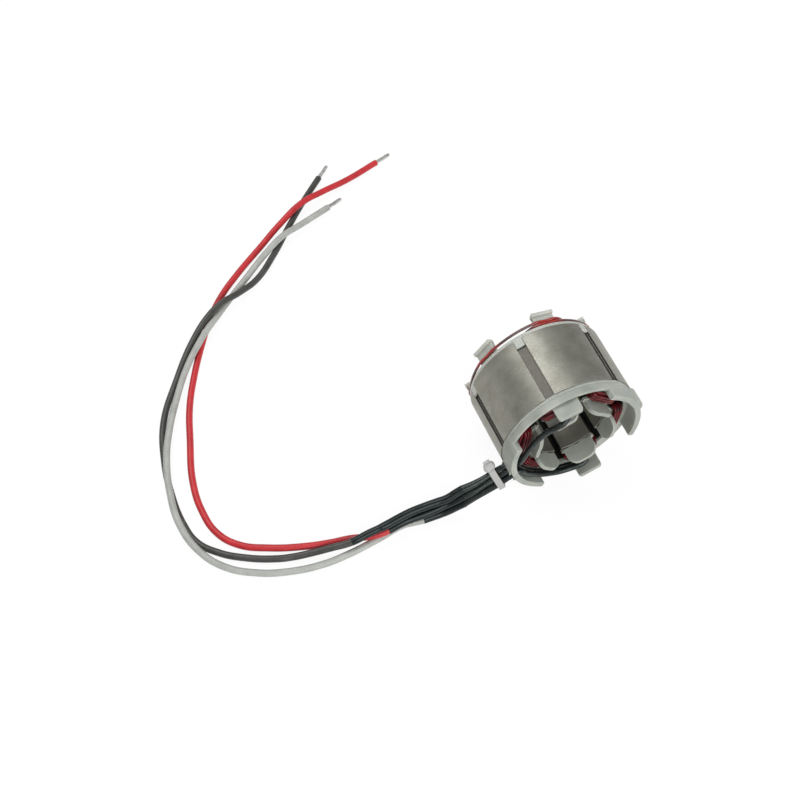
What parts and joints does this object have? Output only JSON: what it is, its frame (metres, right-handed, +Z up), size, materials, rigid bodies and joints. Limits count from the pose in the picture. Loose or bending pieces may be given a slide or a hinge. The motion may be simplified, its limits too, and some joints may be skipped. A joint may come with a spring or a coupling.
{
  "type": "wound stator",
  "caption": "Wound stator of a small inner-rotor brushless motor: laminated steel stack, moulded end insulators, tooth coils and three loose leads with tinned ends.",
  "frame": {"origin": "on the rotor bore's axis, half way along the steel stack", "axes": "+Y along the bore axis, away from the lead side; +Z up as the stator lies on its side on a table"},
  "size_m": [0.1463, 0.1617, 0.0462],
  "materials": {
    "steel": "satin",
    "insulator": "satin",
    "enamel_wire": "gloss",
    "sleeving": "satin",
    "tie": "satin",
    "red_insulation": "satin",
    "black_insulation": "satin",
    "white_insulation": "satin",
    "tinned_copper": "satin"
  },
  "bodies": {
    "root": {"stator_core": "steel", "front_insulator": "insulator", "rear_insulator": "insulator", "coil_1": "enamel_wire", "coil_2": "enamel_wire", "coil_3": "enamel_wire", "coil_4": "enamel_wire", "coil_5": "enamel_wire", "coil_6": "enamel_wire", "rear_link_1": "enamel_wire", "rear_link_2": "enamel_wire", "rear_link_3": "enamel_wire", "sleeve_red": "sleeving", "sleeve_black": "sleeving", "sleeve_white": "sleeving", "cable_tie": "tie", "splice_red": "sleeving", "splice_black": "sleeving", "splice_white": "sleeving", "lead_red": "red_insulation", "lead_black": "black_insulation", "lead_white": "white_insulation", "tip_red": "tinned_copper", "tip_black": "tinned_copper", "tip_white": "tinned_copper"}
  },
  "joints": []
}
